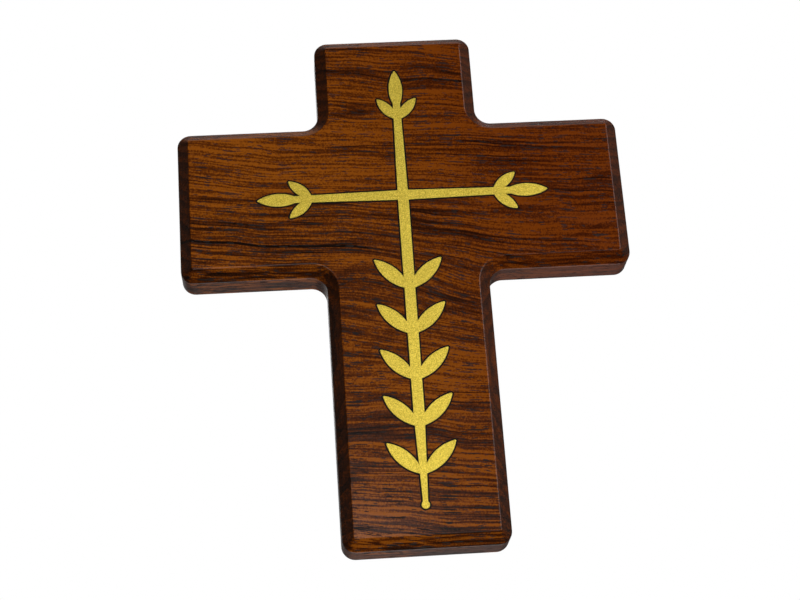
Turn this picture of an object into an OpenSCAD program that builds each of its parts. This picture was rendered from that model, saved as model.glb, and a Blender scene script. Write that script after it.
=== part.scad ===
// Wall cross cut from one hardwood board, with a brass inlay let into the front
// and a keyhole hanger plate let into the back.
//
// Frame: +Z runs up the shaft, +X runs to the right as the front is seen, and -Y
// points out of the front face. The origin is the centre of the hanger's entry
// hole, on the back face.
//
// The modules draw the cross lying on its back: X across the arms, Y up the shaft
// from the foot, Z from the back face (0) to the front face (board_t). stand()
// turns that upright and moves the entry hole to the origin.

/* [Board] */
// Width across the arms, tip to tip
arm_span = 200; // [180:1:260]
// Height from the foot to the top
board_h = 240; // [236:1:320]
// Width of the shaft, and height of the arms
member_w = 72; // [60:1:90]
// Height of the arms' centre line above the foot
arm_y = 160; // [156:1:166]
// Thickness of the board
board_t = 19; // [17:0.5:30]
// Radius of the outer corners
corner_r = 6; // [5.5:0.5:12]
// Radius of the inner corners, where the arms meet the shaft
crook_r = 7; // [4:0.5:14]
// Width of the 45 degree chamfer round the front
chamfer = 5; // [2:0.5:5.4]

/* [Inlay] */
// Thickness of the brass sheet
brass_t = 1.6; // [1.2:0.1:2.5]
// How far the brass stands above the wood
brass_proud = 0.2; // [0.05:0.05:0.4]
// Width of the dark bedding line round the brass
line_w = 0.7; // [0.3:0.05:0.8]
// Thickness of the bedding under the brass
bed_t = 0.4; // [0.2:0.1:1]
// How far the bedding line lies below the wood
line_sunk = 0.15; // [0.05:0.05:0.3]
// Width of the inlay's bars where they cross
bar_w = 4.8; // [3.5:0.1:6]
// Reach of the crossbar each way from the crossing
bar_reach = 65; // [50:1:70]
// Reach of the upright above the crossing
top_reach = 62; // [50:1:64]
// Height of the upright's lower tip above the foot
tail_y = 16; // [12:1:20]

/* [Sprig] */
// Pairs of leaves on the lower stem
leaf_pairs = 5; // [3:1:5]
// Length of a leaf on the stem
leaf_len = 21; // [16:0.5:22]
// Width of a leaf on the stem
leaf_w = 6.4; // [4:0.1:7]
// Angle between a leaf and the stem
leaf_angle = 46; // [35:1:55]
// Height of the lowest pair of leaves above the foot
leaf_y = 31; // [28:1:36]
// Distance from one pair to the next
leaf_pitch = 21; // [20:0.5:22]

/* [Hanger] */
// Height of the entry hole above the foot
hang_y = 196; // [190:1:200]
// Length of the hanger plate
plate_len = 42; // [40:1:50]
// Width of the hanger plate
plate_w = 16; // [15:1:20]
// Thickness of the hanger plate
plate_t = 1.6; // [1.5:0.1:2.5]
// Radius of the entry hole, which the wall screw's head passes
entry_r = 4.75; // [4.5:0.05:5]
// Width of the slot, which the wall screw's neck slides up
slot_w = 5; // [4:0.1:5.5]
// Distance from the entry hole's centre to the slot's end centre
slot_rise = 9; // [8:0.5:10]
// Depth of the head room behind the plate, from the back face
head_room = 8; // [6:0.5:9]

/* [Screws] */
// Radius of a screw's shank
shank_r = 1.5; // [1.2:0.05:1.7]
// Radius of a screw's countersunk head
head_r = 2.9; // [2.6:0.05:3]
// Overall length of a screw
screw_len = 12; // [9:0.5:13]
// Distance from the plate's centre to each screw
screw_reach = 15.5; // [15:0.1:16]

/* [Hidden] */
$fn = 96;
over = 1;                      // how far a cutting shape runs past what it cuts

half_w = member_w / 2;
wall_h = board_t - chamfer;    // straight part of the edge, behind the chamfer
tip_cut = 0.4;                 // how much of a leaf's sharp tip is rounded away
pocket_floor = board_t + brass_proud - brass_t - bed_t;
brass_floor = pocket_floor + bed_t;

spray_leaf_len = 20;           // leaf that ends an arm of the inlay
spray_leaf_w = 6.2;
side_leaf_len = 14;            // the two small leaves behind it
side_leaf_w = 4.8;
side_leaf_angle = 40;
side_leaf_back = 5;            // from the end leaf's base back to theirs
bar_end_w = 3.2;               // width of a bar where its end leaf starts
tail_w = 2.2;                  // width of the stem at its lower tip
tail_ball_r = 1.8;             // round drop that ends the stem
stem_y = 58;                   // where the stem reaches its full width

plate_mid = slot_rise / 2;     // plate's centre, above the entry hole
plate_gap = 0.2;               // clearance round the plate in its recess
hole_r = shank_r + 0.2;        // plate's hole for a screw's shank
head_h = 1.4;                  // height of a screw's head cone
point_h = 2.5;                 // height of a screw's point
pilot_gap = 0.05;              // clearance round a shank in the wood
drive_w = 0.7;                 // width of a slot of the cross recess
drive_len = 3.2;
drive_depth = 0.9;
head_slot_r = entry_r + 0.75;  // half width of the head room

// Turns the flat drawing upright, with the entry hole at the origin.
module stand() {
    translate([0, 0, -hang_y]) rotate([90, 0, 0]) children();
}

// Four copies, mirrored across both centre lines of the arms.
module four_ways() {
    for (i = [0, 1], j = [0, 1]) mirror([i, 0, 0]) mirror([0, j, 0]) children();
}

// ---- Board ----

// A straight board of width w along Y, with both long front edges chamfered.
module chamfered_strip(w, len) {
    translate([0, len / 2, 0]) rotate([90, 0, 0]) linear_extrude(len) polygon([
        [-w / 2, 0], [w / 2, 0], [w / 2, wall_h], [w / 2 - chamfer, board_t],
        [-w / 2 + chamfer, board_t], [-w / 2, wall_h]]);
}

// Rounded corner of the board: an upright wall below a 45 degree cone.
module corner_post() {
    cylinder(h = wall_h, r = corner_r);
    translate([0, 0, wall_h]) cylinder(h = chamfer, r1 = corner_r, r2 = corner_r - chamfer);
}

// A rectangular board, centred, with round corners and a chamfer all round.
module chamfered_board(w, h) {
    chamfered_strip(w, h - 2 * corner_r);
    rotate([0, 0, 90]) chamfered_strip(h, w - 2 * corner_r);
    four_ways() translate([w / 2 - corner_r, h / 2 - corner_r, 0]) corner_post();
}

// Fills one inner corner up to a round of crook_r, which the chamfer widens.
module crook_fill() {
    centre = half_w + crook_r;
    inner = half_w - chamfer;
    difference() {
        translate([inner, inner, 0]) cube([centre - inner, centre - inner, board_t]);
        translate([centre, centre, -over]) cylinder(h = wall_h + over, r = crook_r);
        translate([centre, centre, wall_h])
            cylinder(h = chamfer + over, r1 = crook_r, r2 = crook_r + chamfer + over);
    }
}

module cross_blank() {
    translate([0, board_h / 2, 0]) chamfered_board(member_w, board_h);
    translate([0, arm_y, 0]) {
        chamfered_board(arm_span, member_w);
        four_ways() crook_fill();
    }
}

// ---- Inlay outline; every shape takes the distance to grow it by ----

// Pointed leaf from the origin up Y: two arcs that meet at both tips, where a
// third arc takes off the sharp end.
module leaf_2d(len, w, grow) {
    arc_r = (len * len + w * w) / (4 * w);
    arc_x = arc_r - w / 2;
    translate([0, len / 2]) intersection() {
        translate([-arc_x, 0]) circle(r = arc_r + grow);
        translate([arc_x, 0]) circle(r = arc_r + grow);
        circle(r = len / 2 - tip_cut + grow);
    }
}

// Tapered bar from the origin up Y.
module bar_2d(len, w0, w1, grow) {
    polygon([
        [-w0 / 2 - grow, 0], [w0 / 2 + grow, 0],
        [w1 / 2 + grow, len], [-w1 / 2 - grow, len]]);
}

// One arm of the inlay from the crossing up Y: a bar, two side leaves, an end leaf.
module spray_2d(reach, grow) {
    base = reach + tip_cut - spray_leaf_len;
    bar_2d(base + spray_leaf_len / 3, bar_w, bar_end_w, grow);
    translate([0, base]) leaf_2d(spray_leaf_len, spray_leaf_w, grow);
    for (s = [-1, 1]) translate([0, base - side_leaf_back])
        rotate(s * side_leaf_angle) leaf_2d(side_leaf_len, side_leaf_w, grow);
}

// Stem below the crossing, tapered to a round drop, with its pairs of leaves.
module stem_2d(grow) {
    drop_y = tail_y + tail_ball_r;
    polygon([
        [-tail_w / 2 - grow, drop_y], [tail_w / 2 + grow, drop_y],
        [bar_w / 2 + grow, stem_y], [bar_w / 2 + grow, arm_y],
        [-bar_w / 2 - grow, arm_y], [-bar_w / 2 - grow, stem_y]]);
    translate([0, drop_y]) circle(r = tail_ball_r + grow);
    for (i = [0 : leaf_pairs - 1], s = [-1, 1])
        translate([0, leaf_y + i * leaf_pitch])
            rotate(s * leaf_angle) leaf_2d(leaf_len, leaf_w, grow);
}

module inlay_2d(grow) {
    stem_2d(grow);
    translate([0, arm_y]) {
        spray_2d(top_reach, grow);
        for (a = [-90, 90]) rotate(a) spray_2d(bar_reach, grow);
    }
}

// ---- Hanger ----

// Slot shape of radius r, from the origin up Y to rise.
module slot_2d(r, rise) {
    circle(r = r);
    translate([0, rise]) circle(r = r);
    translate([-r, 0]) square([2 * r, rise]);
}

// Plate's outline, centred on the entry hole, grown by gap.
module plate_2d(gap) {
    straight = plate_len - plate_w;
    translate([0, plate_mid - straight / 2]) slot_2d(plate_w / 2 + gap, straight);
}

// Places children at both screws, as seen from the entry hole.
module at_screws() {
    for (s = [-1, 1]) translate([0, plate_mid + s * screw_reach, 0]) children();
}

// Screw with its head's face at Z = 0 and its point up Z; gap grows the shank.
module screw_solid(gap) {
    cylinder(h = head_h, r1 = head_r, r2 = shank_r);
    translate([0, 0, head_h / 2]) cylinder(h = screw_len - point_h - head_h / 2, r = shank_r + gap);
    translate([0, 0, screw_len - point_h])
        cylinder(h = point_h, r1 = shank_r + gap, r2 = 0.2);
}

// ---- Sub-parts ----

module cross_body() {
    color([0.42, 0.20, 0.08]) stand() difference() {
        cross_blank();
        translate([0, 0, pocket_floor]) linear_extrude(board_t - pocket_floor + over)
            inlay_2d(line_w);
        translate([0, hang_y, -over]) {
            linear_extrude(plate_t + over) plate_2d(plate_gap);
            linear_extrude(head_room + over) slot_2d(head_slot_r, slot_rise);
        }
        translate([0, hang_y, 0]) at_screws() screw_solid(pilot_gap);
    }
}

module inlay_bedding() {
    color([0.05, 0.04, 0.04]) stand() difference() {
        translate([0, 0, pocket_floor])
            linear_extrude(board_t - line_sunk - pocket_floor) inlay_2d(line_w);
        translate([0, 0, brass_floor]) linear_extrude(brass_t + over) inlay_2d(0);
    }
}

module brass_inlay() {
    color([0.80, 0.66, 0.26]) stand()
        translate([0, 0, brass_floor]) linear_extrude(brass_t) inlay_2d(0);
}

module hanger_plate() {
    color([0.70, 0.71, 0.72]) stand() translate([0, hang_y, 0]) difference() {
        linear_extrude(plate_t) plate_2d(0);
        translate([0, 0, -over]) cylinder(h = plate_t + 2 * over, r = entry_r);
        translate([0, 0, -over]) linear_extrude(plate_t + 2 * over)
            slot_2d(slot_w / 2, slot_rise);
        at_screws() {
            translate([0, 0, -over]) cylinder(h = plate_t + 2 * over, r = hole_r);
            cylinder(h = head_h, r1 = head_r + 0.1, r2 = hole_r);
        }
    }
}

module hanger_screws() {
    color([0.78, 0.66, 0.34]) stand() translate([0, hang_y, 0]) at_screws() difference() {
        screw_solid(0);
        for (a = [0, 90]) rotate(a) translate([-drive_w / 2, -drive_len / 2, -over])
            cube([drive_w, drive_len, drive_depth + over]);
    }
}

cross_body();
inlay_bedding();
brass_inlay();
hanger_plate();
hanger_screws();
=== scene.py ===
"""Looks of the wall cross: an oiled hardwood board with a brass inlay and a keyhole plate.

All lengths are in metres, in the row frame: +Z up the shaft, +X to the right as the
front is seen, -Y out of the front face, and the origin at the hanger's entry hole.
"""
import math

import bmesh
import bpy
from mathutils import Matrix, Vector


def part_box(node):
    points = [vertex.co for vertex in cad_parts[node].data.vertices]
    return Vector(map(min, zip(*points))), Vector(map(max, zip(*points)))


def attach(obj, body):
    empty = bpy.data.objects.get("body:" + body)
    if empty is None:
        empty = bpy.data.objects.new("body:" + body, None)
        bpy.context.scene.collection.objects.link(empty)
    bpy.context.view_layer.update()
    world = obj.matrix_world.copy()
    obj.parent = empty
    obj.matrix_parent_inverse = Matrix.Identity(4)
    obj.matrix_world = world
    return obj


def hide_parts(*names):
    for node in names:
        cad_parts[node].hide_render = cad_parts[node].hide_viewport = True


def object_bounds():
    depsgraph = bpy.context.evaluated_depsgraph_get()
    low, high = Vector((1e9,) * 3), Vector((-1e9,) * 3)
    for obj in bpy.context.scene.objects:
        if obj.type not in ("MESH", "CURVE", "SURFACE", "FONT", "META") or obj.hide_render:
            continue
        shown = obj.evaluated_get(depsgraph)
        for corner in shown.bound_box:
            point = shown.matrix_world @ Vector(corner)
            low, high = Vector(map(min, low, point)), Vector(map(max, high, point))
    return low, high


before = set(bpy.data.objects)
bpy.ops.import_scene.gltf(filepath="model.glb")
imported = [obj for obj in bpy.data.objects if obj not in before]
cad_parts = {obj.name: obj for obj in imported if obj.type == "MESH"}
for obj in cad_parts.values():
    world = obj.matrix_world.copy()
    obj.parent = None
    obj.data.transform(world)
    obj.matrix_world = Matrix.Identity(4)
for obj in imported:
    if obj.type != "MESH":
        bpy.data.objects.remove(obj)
cad_low, cad_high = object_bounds()

MM = 0.001

board_low, board_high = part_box("cross_body")
FOOT_Z = board_low.z
BACK_Y = board_high.y


def placed(name, data):
    """A new object in the scene."""
    made = bpy.data.objects.new(name, data)
    bpy.context.scene.collection.objects.link(made)
    return made


# ---------------------------------------------------------------- node helper

class Shader:
    """A material's node tree, with short calls that return the socket they make."""

    def __init__(self, name):
        self.material = bpy.data.materials.new(name)
        self.material.use_nodes = True
        self.tree = self.material.node_tree
        self.tree.nodes.clear()
        output = self.node("ShaderNodeOutputMaterial")
        self.surface = self.node("ShaderNodeBsdfPrincipled")
        self.tree.links.new(self.surface.outputs["BSDF"], output.inputs["Surface"])

    def node(self, kind, **settings):
        made = self.tree.nodes.new(kind)
        for key, value in settings.items():
            setattr(made, key, value)
        return made

    def feed(self, socket, value):
        """Links value if it is a socket, and sets it as the default otherwise."""
        if isinstance(value, bpy.types.NodeSocket):
            self.tree.links.new(value, socket)
        else:
            socket.default_value = value

    def set(self, **values):
        """Sets inputs of the Principled shader; an underscore stands for a space."""
        for key, value in values.items():
            self.feed(self.surface.inputs[key.replace("_", " ")], value)

    def math(self, operation, a, b=0.0, c=0.0):
        made = self.node("ShaderNodeMath", operation=operation)
        for socket, value in zip(made.inputs, (a, b, c)):
            self.feed(socket, value)
        return made.outputs[0]

    def total(self, *values):
        """The sum of two or more values."""
        result = values[0]
        for value in values[1:]:
            result = self.math("ADD", result, value)
        return result

    def product(self, *values):
        """The product of two or more values."""
        result = values[0]
        for value in values[1:]:
            result = self.math("MULTIPLY", result, value)
        return result

    def beside(self, value, centre):
        """How far a value is from a centre, either way."""
        return self.math("ABSOLUTE", self.math("SUBTRACT", value, centre))

    def swing(self, value, amount):
        """A noise of 0 to 1 as a shift either way, amount wide from end to end."""
        return self.math("MULTIPLY", self.math("SUBTRACT", value, 0.5), amount)

    def split(self, vector):
        made = self.node("ShaderNodeSeparateXYZ")
        self.feed(made.inputs[0], vector)
        return made.outputs[0], made.outputs[1], made.outputs[2]

    def join(self, x, y, z):
        made = self.node("ShaderNodeCombineXYZ")
        for socket, value in zip(made.inputs, (x, y, z)):
            self.feed(socket, value)
        return made.outputs[0]

    def scaled(self, vector, factors):
        """The vector with each of its parts multiplied by its own factor."""
        made = self.node("ShaderNodeVectorMath", operation="MULTIPLY")
        self.feed(made.inputs[0], vector)
        self.feed(made.inputs[1], factors)
        return made.outputs["Vector"]

    def place_mm(self):
        """The point in millimetres, in the row frame."""
        return self.scaled(self.node("ShaderNodeTexCoord").outputs["Object"], (1 / MM,) * 3)

    def noise(self, vector, scale=1.0, detail=2.0, roughness=0.5):
        made = self.node("ShaderNodeTexNoise")
        self.feed(made.inputs["Vector"], vector)
        made.inputs["Scale"].default_value = scale
        made.inputs["Detail"].default_value = detail
        made.inputs["Roughness"].default_value = roughness
        return made.outputs["Fac"]

    def cells(self, vector):
        """The distance to the nearest of many scattered points, and that point's own
        random number."""
        made = self.node("ShaderNodeTexVoronoi")
        self.feed(made.inputs["Vector"], vector)
        made.inputs["Scale"].default_value = 1.0
        return made.outputs["Distance"], self.split(made.outputs["Color"])[0]

    def random(self, value):
        """One steady random number for each value."""
        made = self.node("ShaderNodeTexWhiteNoise", noise_dimensions="1D")
        self.feed(made.inputs["W"], value)
        return made.outputs["Value"]

    def band(self, value, low, high, out_low=0.0, out_high=1.0):
        """A smooth step from out_low at low to out_high at high."""
        made = self.node("ShaderNodeMapRange", interpolation_type="SMOOTHSTEP")
        for key, entry in zip(("Value", "From Min", "From Max", "To Min", "To Max"),
                              (value, low, high, out_low, out_high)):
            self.feed(made.inputs[key], entry)
        return made.outputs["Result"]

    def mix(self, factor, a, b, blend="MIX"):
        made = self.node("ShaderNodeMix", data_type="RGBA", blend_type=blend)
        self.feed(made.inputs[0], factor)
        self.feed(made.inputs[6], colour(a))
        self.feed(made.inputs[7], colour(b))
        return made.outputs[2]

    def bump(self, height, strength, distance):
        made = self.node("ShaderNodeBump")
        made.inputs["Strength"].default_value = strength
        made.inputs["Distance"].default_value = distance
        self.feed(made.inputs["Height"], height)
        return made.outputs["Normal"]


def colour(value):
    """An RGB triple as the RGBA that a colour socket takes; anything else unchanged."""
    if isinstance(value, tuple) and len(value) == 3:
        return (*value, 1.0)
    return value


# ---------------------------------------------------------------- materials

PITH_BACK_MM = 38.0      # the tree's centre, behind the board's back face
PITH_UP_MM = 86.0        # and its height above the foot
PITH_LEAN = 0.16         # how much nearer the pith comes per mm to the right
RING_MM = 4.6            # thickness of one year's growth
GRAIN_FALL = 0.07        # how much the grain drops per mm to the right
SWERVE_MM = 10.0         # half its extra drop from left to right, under the arms
SWERVE_UP_MM = 116.0     # the height at which it does
SWERVE_REACH_MM = 34.0   # and how far up and down from there
SWERVE_WIDTH_MM = 38.0
DARK_LINE_UP_MM = 130.2  # where a dark growth line runs out of the left arm

WOOD_LIGHT = (0.270, 0.072, 0.0045)
WOOD_MIDDLE = (0.100, 0.0220, 0.0021)
WOOD_DARK = (0.034, 0.0085, 0.0018)
WOOD_PORE = (0.008, 0.0028, 0.0012)
WOOD_RUDDY = (0.62, 0.46, 0.45)


class Wood:
    """Where a point lies in the tree that the board was sawn from, in mm."""

    def __init__(self, s):
        self.s = s
        self.x, self.y, z = s.split(s.place_mm())
        self.up = s.math("SUBTRACT", z, FOOT_Z / MM)
        self.level = self.grain_level()
        year = s.math("MULTIPLY_ADD", s.noise(self.along(0.015, 0.06)), 2.0,
                      s.math("DIVIDE", self.from_pith(), RING_MM))
        self.season = s.math("FRACT", year)
        self.ring_mark = s.random(s.math("FLOOR", year))
        # The figure is bold at the foot and the left, and fine at the top and the right
        self.bold = s.band(s.math("MULTIPLY_ADD", self.x, 0.5, self.up), 0.0, 200.0, 1.0, 0.0)

    def stretched(self, along, across, height):
        """A place that changes by along per mm of the grain, and by across per mm of
        thickness and height."""
        s = self.s
        return s.join(s.math("MULTIPLY", self.x, along), s.math("MULTIPLY", self.y, across),
                      s.math("MULTIPLY", height, across))

    def along(self, along, across):
        """A place for streaks that follow every bend of the grain."""
        return self.stretched(along, across, self.level)

    def grain_level(self):
        """The height above the foot, as if the grain were straight."""
        s = self.s
        off = s.math("DIVIDE", s.math("SUBTRACT", self.up, SWERVE_UP_MM), SWERVE_REACH_MM)
        swerve = s.product(s.math("TANH", s.math("DIVIDE", self.x, SWERVE_WIDTH_MM)),
                           s.math("EXPONENT", s.product(off, off, -1.0)))
        sway = s.total(s.swing(s.noise(self.stretched(0.012, 0.012, self.up)), 14.0),
                       s.swing(s.noise(self.stretched(0.035, 0.05, self.up)), 2.4))
        return s.total(s.math("MULTIPLY_ADD", self.x, GRAIN_FALL, self.up),
                       s.math("MULTIPLY_ADD", swerve, SWERVE_MM, sway))

    def from_pith(self):
        """The distance from the tree's centre, which the rings follow."""
        s = self.s
        swell = s.swing(s.noise(self.stretched(0.020, 0.03, self.up)), 10.0)
        lean = s.math("MULTIPLY_ADD", self.x, PITH_LEAN, self.y)
        depth = s.total(s.math("SUBTRACT", lean, PITH_BACK_MM), swell)
        height = s.math("SUBTRACT", self.level, PITH_UP_MM)
        return s.math("SQRT", s.total(s.product(height, height), s.product(depth, depth)))


def grain_darkness(s, wood, patch, bundle, fibre):
    """How dark the grain makes the wood: 0 is pale and 1 is dark."""
    late = s.product(s.band(wood.season, 0.25, 0.95),
                     s.band(wood.ring_mark, 0.10, 0.95, 0.02, 0.18))
    wide = s.product(s.band(bundle, 0.40, 0.66), s.band(wood.bold, 0.0, 1.0, 0.10, 0.48))

    # The grain is livelier at the foot, and below the dark line in the left arm
    under_line = s.product(s.band(wood.level, DARK_LINE_UP_MM + 1.0, DARK_LINE_UP_MM - 6.0),
                           s.band(wood.x, -20.0, -52.0))
    lively = s.math("MAXIMUM", s.band(wood.up, 70.0, 20.0, 0.0, 0.6), under_line)
    threads = s.product(s.band(fibre, 0.36, 0.66), s.math("MULTIPLY_ADD", lively, 0.36, 0.42))

    contour = s.noise(wood.along(0.007, 0.22), 1.0, 1.0)
    thin = s.product(s.band(s.beside(contour, 0.5), 0.035, 0.005),
                     s.band(patch, 0.40, 0.60, 0.10, 0.50))
    dust = s.band(s.noise(s.place_mm(), 1.5, 1.0), 0.30, 0.70, -0.16, 0.16)
    pale = s.product(s.band(wood.x, -36.0, 16.0), s.band(wood.up, 125.0, 75.0),
                     s.band(wood.up, 8.0, 45.0, 0.2, 1.0))
    growth_line = s.product(s.band(s.beside(wood.level, DARK_LINE_UP_MM), 0.95, 0.30),
                            s.band(wood.x, 14.0, -30.0, 0.0, 1.3))
    return s.total(s.band(patch, 0.30, 0.70, 0.02, 0.20), wide, late, threads,
                   s.product(lively, -0.06), thin, dust, s.product(pale, -0.14), growth_line)


def pores(s, wood, crowd):
    """Short and long dashes along the grain, thicker where crowd is high."""
    def dashes(along, across, rare):
        gap, luck = s.cells(wood.along(along, across))
        return s.product(s.band(s.math("SUBTRACT", gap, crowd), 0.30, 0.19),
                         s.band(luck, rare, 0.85))

    return s.math("MAXIMUM", dashes(0.21, 1.25, 0.15), dashes(0.08, 0.90, 0.50))


def hardwood():
    """Oiled hardwood sawn from one trunk, with the grain along X. Everything that
    darkens it adds up to one depth of colour."""
    s = Shader("oiled_hardwood")
    wood = Wood(s)
    patch = s.noise(wood.along(0.010, 0.07))
    bundle = s.noise(wood.along(0.009, 0.24), 1.0, 2.0, 0.6)
    fibre = s.noise(wood.along(0.030, 0.95), 1.0, 1.0, 0.6)
    dark = grain_darkness(s, wood, patch, bundle, fibre)
    pore = pores(s, wood, s.math("MULTIPLY", dark, 0.09))
    dark = s.math("MULTIPLY_ADD", pore, s.band(wood.bold, 0.0, 1.0, 0.70, 1.10), dark)

    # The cut ends drink the oil: darker, less streaky, and with the rings as arcs
    normal_x, normal_y, _ = s.split(s.node("ShaderNodeNewGeometry").outputs["Normal"])
    end_grain = s.band(s.math("ABSOLUTE", normal_x), 0.20, 0.80)
    edge = s.band(s.math("ABSOLUTE", normal_y), 0.40, 0.05)
    arcs = s.band(wood.season, 0.30, 0.95, -0.10, 0.16)
    sunk = s.total(s.math("MULTIPLY_ADD", dark, -0.55, 0.70), arcs)
    dark = s.math("MULTIPLY_ADD", sunk, end_grain, dark)

    tone = s.mix(s.band(dark, 0.10, 0.60), WOOD_LIGHT, WOOD_MIDDLE)
    tone = s.mix(s.band(dark, 0.50, 1.00), tone, WOOD_DARK)
    tone = s.mix(s.band(dark, 0.95, 1.50), tone, WOOD_PORE)
    ruddy = s.product(s.band(s.math("MULTIPLY_ADD", wood.up, 0.3, wood.x), -10.0, 130.0),
                      s.math("MULTIPLY_ADD", end_grain, -0.8, 1.0))
    tone = s.mix(ruddy, tone, WOOD_RUDDY, "MULTIPLY")

    # Sanded smooth on the faces, and rougher in the pores, on the edges and the cut ends
    dull = s.math("MAXIMUM", s.math("MULTIPLY", end_grain, 0.7), edge)
    rough = s.total(s.band(bundle, 0.3, 0.7, 0.16, 0.22), s.product(dull, 0.24),
                    s.product(pore, 0.40))
    hollow = s.total(s.product(pore, -1.0), s.product(fibre, -0.3))
    s.set(Base_Color=tone, Roughness=rough, Normal=s.bump(hollow, 0.5, 0.05 * MM),
          Specular_IOR_Level=0.19)
    return s.material


def satin_brass():
    """Brass sheet with a fine blasted surface, small pits and a little tarnish."""
    s = Shader("satin_brass")
    place = s.place_mm()
    grit = s.noise(place, 2.2, 2.0, 0.7)
    speck = s.noise(place, 5.0, 1.0)
    cloud = s.noise(place, 0.06, 3.0)
    pit = s.band(s.noise(place, 1.1, 1.0), 0.72, 0.77)
    grain = s.total(s.product(grit, 0.6), s.product(speck, 0.4))
    tone = s.mix(s.band(grain, 0.37, 0.63), (0.48, 0.33, 0.030), (1.0, 0.80, 0.125))
    tone = s.mix(s.band(cloud, 0.4, 0.8, 0.0, 0.22), tone, (0.56, 0.40, 0.055))
    tone = s.mix(s.math("MULTIPLY", pit, 0.7), tone, (0.12, 0.08, 0.025))
    height = s.total(grain, s.product(pit, -0.6))
    s.set(Base_Color=tone, Metallic=1.0, Roughness=s.band(grain, 0.3, 0.7, 0.42, 0.54),
          Normal=s.bump(height, 0.6, 0.12 * MM))
    return s.material


def bedding_with_gap_shade():
    """Dark filled adhesive with a soft, slightly uneven gloss. Its near-black tone is partly its
    own and partly painted shade, standing for the shadow in the thin gap around the brass.
    """
    s = Shader("bedding_with_gap_shade")
    place = s.place_mm()
    grains = s.noise(place, 3.0, 2.0)
    # Near-black: partly the adhesive's own colour and partly painted shade of the gap around the
    # brass
    tone = s.mix(s.band(grains, 0.35, 0.7), (0.0015, 0.0012, 0.0010), (0.006, 0.004, 0.003))
    s.set(Base_Color=tone, Roughness=s.band(grains, 0.3, 0.7, 0.4, 0.6), Specular_IOR_Level=0.12,
          Normal=s.bump(grains, 0.3, 0.05 * MM))
    return s.material


def plated_steel(name, dull, bright, streaks):
    """Zinc plated steel: soft clouds, fine scratches along Z, small dark specks, and
    painted shade, near-black, on everything that lies deeper than the back face."""
    s = Shader(name)
    place = s.place_mm()
    cloud = s.noise(place, 0.35, 4.0, 0.6)
    scratch = s.noise(s.scaled(place, (9.0, 9.0, 0.25)))
    speck = s.band(s.noise(place, 3.2, 1.0), 0.70, 0.78)
    tone = s.mix(s.band(cloud, 0.3, 0.7), dull, bright)
    tone = s.mix(s.math("MULTIPLY", speck, 0.5), tone, (0.12, 0.11, 0.10))
    # Painted shade: whatever lies deeper than the back face, in the recess and the keyhole slot,
    # is darkened towards near-black
    recess_shade = s.band(s.split(place)[1], BACK_Y / MM - 0.25, BACK_Y / MM - 0.75, 0.0, 0.85)
    tone = s.mix(recess_shade, tone, (0.020, 0.016, 0.013))
    rough = s.total(s.band(cloud, 0.3, 0.7, 0.26, 0.40), s.band(scratch, 0.4, 0.8, 0.0, streaks))
    s.set(Base_Color=tone, Metallic=1.0, Roughness=rough,
          Normal=s.bump(scratch, 0.2, 0.03 * MM))
    return s.material


def pale_floor():
    """A pale floor with a glow of its own, like a light table, that fades into the white
    backdrop far away."""
    s = Shader("pale_floor")
    place = s.place_mm()
    x, y, _ = s.split(place)
    distance = s.math("SQRT", s.total(s.product(x, x), s.product(y, y)))
    tone = s.mix(s.noise(place, 0.01, 2.0), (0.76, 0.76, 0.75), (0.82, 0.82, 0.81))
    tone = s.mix(s.band(distance, 2500.0, 14000.0), tone, (1.0, 1.0, 1.0))
    s.set(Base_Color=colour((0.1, 0.1, 0.1)), Roughness=0.8, Emission_Color=tone,
          Emission_Strength=1.0)
    return s.material


# ---------------------------------------------------------------- pieces

def welded(node):
    """A mesh in work with a CAD node's shape, its flat areas joined up."""
    work = bmesh.new()
    work.from_mesh(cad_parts[node].data)
    bmesh.ops.remove_doubles(work, verts=work.verts, dist=1e-6)
    bmesh.ops.dissolve_limit(work, angle_limit=math.radians(0.3), verts=work.verts,
                             edges=work.edges)
    work.normal_update()
    return work


def ease(work, edges, radius, steps):
    """Rounds the given edges of a mesh in work."""
    bmesh.ops.bevel(work, geom=edges, offset=radius, offset_type="OFFSET", segments=steps,
                    profile=0.5, affect="EDGES", clamp_overlap=False, loop_slide=True)


def finished(work, name, node, material, sharp_deg):
    """Turns a mesh in work into the piece that stands for a CAD node, kept in its box."""
    low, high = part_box(node)
    for vertex in work.verts:
        vertex.co = [min(max(c, a), b) for c, a, b in zip(vertex.co, low, high)]
    mesh = bpy.data.meshes.new(name)
    work.to_mesh(mesh)
    work.free()
    mesh.shade_smooth()
    mesh.set_sharp_from_angle(angle=math.radians(sharp_deg))
    mesh.materials.append(material)
    piece = placed(name, mesh)
    weighted = piece.modifiers.new("flat faces stay flat", "WEIGHTED_NORMAL")
    weighted.keep_sharp = True
    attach(piece, "root")
    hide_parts(node)
    return piece


def tilts(edge):
    """How squarely each face at an edge looks to the front or the back: 1 is fully,
    and 0 is edge on. The smaller comes first."""
    return sorted(abs(face.normal.y) for face in edge.link_faces)


EASE_FRONT = 0.38 * MM   # rounding beside the chamfer
EASE_BACK = 0.6 * MM     # rounding of the back edge
EASE_BRASS = 0.14 * MM   # rounding of the brass's front rim
EASE_PLATE = 0.2 * MM    # rounding of the plate's rim

# What tilts() says of faces: flat on to the front, edge on, or on the chamfer
FLAT_ON = 0.9
EDGE_ON = 0.1
CHAMFER = math.sqrt(0.5)
CHAMFER_SLACK = 0.03
TOUCH = 0.01 * MM        # a point this close to a plane is on it


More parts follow.
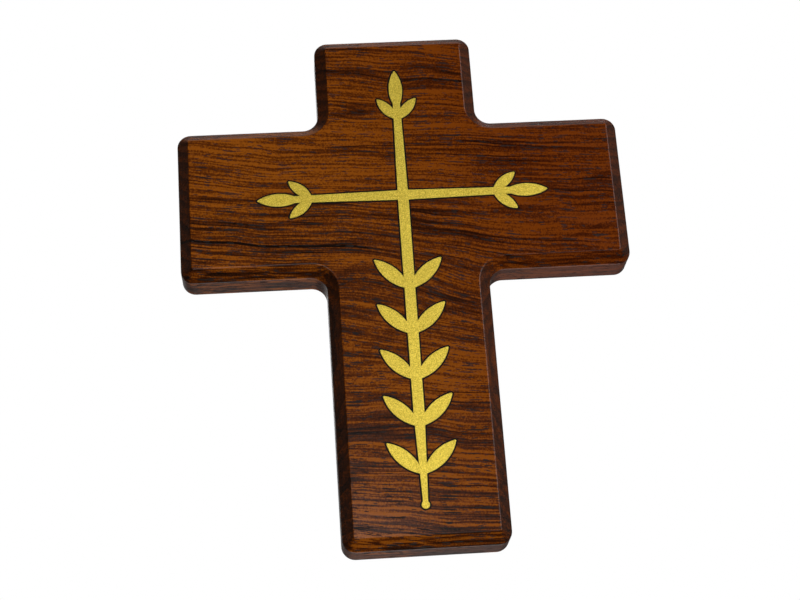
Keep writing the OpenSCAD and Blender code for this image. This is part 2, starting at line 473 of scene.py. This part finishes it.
def board_piece():
    """The board, with its chamfer's edges and its back edge slightly rounded."""
    work = welded("cross_body")
    plate_low, plate_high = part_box("hanger_plate")

    def beside_chamfer(edge):
        leans = tilts(edge)
        return len(leans) == 2 and sum(abs(lean - CHAMFER) < CHAMFER_SLACK for lean in leans) == 1

    def at_hanger(point):
        return (abs(point.x) < plate_high.x * 1.5
                and plate_low.z * 1.5 < point.z < plate_high.z * 1.3)

    def back_outline(edge):
        middle = (edge.verts[0].co + edge.verts[1].co) / 2
        leans = tilts(edge)
        return (abs(middle.y - BACK_Y) < TOUCH and not at_hanger(middle) and len(leans) == 2
                and leans[0] < EDGE_ON and leans[1] > FLAT_ON)

    ease(work, [edge for edge in work.edges if back_outline(edge)], EASE_BACK, 3)
    ease(work, [edge for edge in work.edges if beside_chamfer(edge)], EASE_FRONT, 3)
    return finished(work, "hardwood_board", "cross_body", hardwood(), sharp_deg=32)


def rim_at(work, y):
    """The edges of a sheet's outline and holes that lie at this y."""
    return [edge for edge in work.edges
            if len(edge.link_faces) == 2 and tilts(edge)[0] < EDGE_ON
            and all(abs(vertex.co.y - y) < TOUCH for vertex in edge.verts)]


def brass_piece():
    """The brass, with a small round along its front rim."""
    work = welded("brass_inlay")
    ease(work, rim_at(work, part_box("brass_inlay")[0].y), EASE_BRASS, 3)
    return finished(work, "brass_sprig", "brass_inlay", satin_brass(), sharp_deg=40)


def plate_piece():
    """The hanger plate, with its back rims softened."""
    work = welded("hanger_plate")
    ease(work, rim_at(work, BACK_Y), EASE_PLATE, 2)
    steel = plated_steel("zinc_plate", (0.42, 0.43, 0.44), (0.62, 0.63, 0.64), 0.16)
    return finished(work, "keyhole_plate", "hanger_plate", steel, sharp_deg=32)


def dress_cad_node(node, material):
    """Gives a CAD node that keeps its own mesh a better material."""
    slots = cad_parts[node].data.materials
    if slots:
        slots[0] = material
    else:
        slots.append(material)


# ---------------------------------------------------------------- camera and stage

# The photo's camera, from the middle of the foot's back edge
CAMERA_FROM_FOOT = Vector((-55.4, -767.4, -168.1)) * MM
CAMERA_FORWARD = Vector((0.0634, 0.9355, 0.3476))
CAMERA_UP = Vector((0.0478, -0.3508, 0.9353))
LENS_MM = 82.3
SENSOR_MM = 36.0

FLOOR_DROP = 2.2         # the floor's distance below the foot, as under a cross on a wall
FLOOR_RADIUS = 60.0


def make_camera():
    """The photo's view: from below, and a little from the left."""
    data = bpy.data.cameras.new("camera")
    data.lens = LENS_MM
    data.sensor_width = SENSOR_MM
    camera = placed("camera", data)
    back = -CAMERA_FORWARD.normalized()
    right = CAMERA_UP.cross(back).normalized()
    up = back.cross(right)
    turn = Matrix((right, up, back)).transposed().to_4x4()
    camera.matrix_world = Matrix.Translation(CAMERA_FROM_FOOT + Vector((0, 0, FOOT_Z))) @ turn
    data.clip_start, data.clip_end = 0.01, 50.0
    bpy.context.scene.camera = camera


def make_floor():
    """A wide round floor. Its glow doesn't reach the cross, which has its own lights."""
    work = bmesh.new()
    bmesh.ops.create_circle(work, cap_ends=True, segments=96, radius=FLOOR_RADIUS,
                            matrix=Matrix.Translation((0, 0, FOOT_Z - FLOOR_DROP)))
    mesh = bpy.data.meshes.new("floor")
    work.to_mesh(mesh)
    work.free()
    mesh.materials.append(pale_floor())
    floor = placed("floor", mesh)
    floor.visible_diffuse = floor.visible_glossy = False


def direction(azimuth, elevation):
    """The unit vector that points from the cross to a light; azimuth 0 is straight in
    front of it, and a positive one lies to the right."""
    a, e = math.radians(azimuth), math.radians(elevation)
    return Vector((math.sin(a) * math.cos(e), -math.cos(a) * math.cos(e), math.sin(e)))


def soft_light(name, azimuth, elevation, distance, width, height, radiance, spread=150.0):
    """A rectangular softbox that faces the cross and glows evenly with this radiance."""
    middle = (cad_low + cad_high) / 2
    data = bpy.data.lights.new(name, "AREA")
    data.shape = "RECTANGLE"
    data.size, data.size_y = width, height
    data.energy = radiance * math.pi * width * height
    data.spread = math.radians(spread)
    light = placed(name, data)
    toward = direction(azimuth, elevation)
    light.location = middle + distance * toward
    light.rotation_mode = "QUATERNION"
    light.rotation_quaternion = (-toward).to_track_quat("-Z", "Y")
    light.visible_camera = False


def make_lights():
    # azimuth, elevation, distance, width, height, radiance, spread
    soft_light("key", 50, 14, 2.4, 2.0, 2.0, 2.6)
    soft_light("overhead", 180, 70, 1.4, 1.4, 0.9, 0.050, 90)
    soft_light("low_front", -10, 0, 1.7, 0.85, 0.6, 3.3)
    soft_light("fill", 0, -31, 1.5, 1.0, 0.5, 1.8)
    soft_light("from_below", 180, -62, 1.4, 1.4, 1.2, 1.7)
    soft_light("behind", 176, 32, 2.4, 1.5, 1.5, 2.0)
    soft_light("behind_left", 228, 10, 2.4, 1.4, 1.4, 1.3)


def make_world():
    """White to the camera. It lights the cross dimly, more from behind and the right."""
    world = bpy.data.worlds.new("studio")
    bpy.context.scene.world = world
    world.use_nodes = True
    tree = world.node_tree
    tree.nodes.clear()

    def node(kind, **inputs):
        made = tree.nodes.new(kind)
        for key, value in inputs.items():
            socket = made.inputs[key.replace("_", " ")]
            if isinstance(value, bpy.types.NodeSocket):
                tree.links.new(value, socket)
            else:
                socket.default_value = value
        return made

    toward = node("ShaderNodeSeparateXYZ", Vector=node("ShaderNodeTexCoord").outputs["Generated"])
    behind = node("ShaderNodeMapRange", Value=toward.outputs["Y"], From_Min=-0.1, From_Max=0.7,
                  To_Min=0.02, To_Max=0.20)
    right = node("ShaderNodeMapRange", Value=toward.outputs["X"], From_Min=0.3, From_Max=0.9,
                 To_Min=0.0, To_Max=0.10)
    total = node("ShaderNodeMath")
    tree.links.new(behind.outputs["Result"], total.inputs[0])
    tree.links.new(right.outputs["Result"], total.inputs[1])
    glow = node("ShaderNodeBackground", Strength=total.outputs[0])
    white = node("ShaderNodeBackground", Strength=1.0)
    white.inputs["Color"].default_value = (1, 1, 1, 1)
    both = node("ShaderNodeMixShader", Fac=node("ShaderNodeLightPath").outputs["Is Camera Ray"])
    tree.links.new(glow.outputs[0], both.inputs[1])
    tree.links.new(white.outputs[0], both.inputs[2])
    node("ShaderNodeOutputWorld", Surface=both.outputs[0])


# ---------------------------------------------------------------- scene

make_camera()
board_piece()
brass_piece()
plate_piece()
# The bedding's near-black tone is partly painted shade of the gap around the brass
dress_cad_node("inlay_bedding", bedding_with_gap_shade())
dress_cad_node("hanger_screws", plated_steel("yellow_zinc", (0.42, 0.32, 0.14),
                                             (0.60, 0.50, 0.26), 0.10))
make_floor()
make_lights()
make_world()
bpy.context.scene.view_settings.view_transform = "Standard"
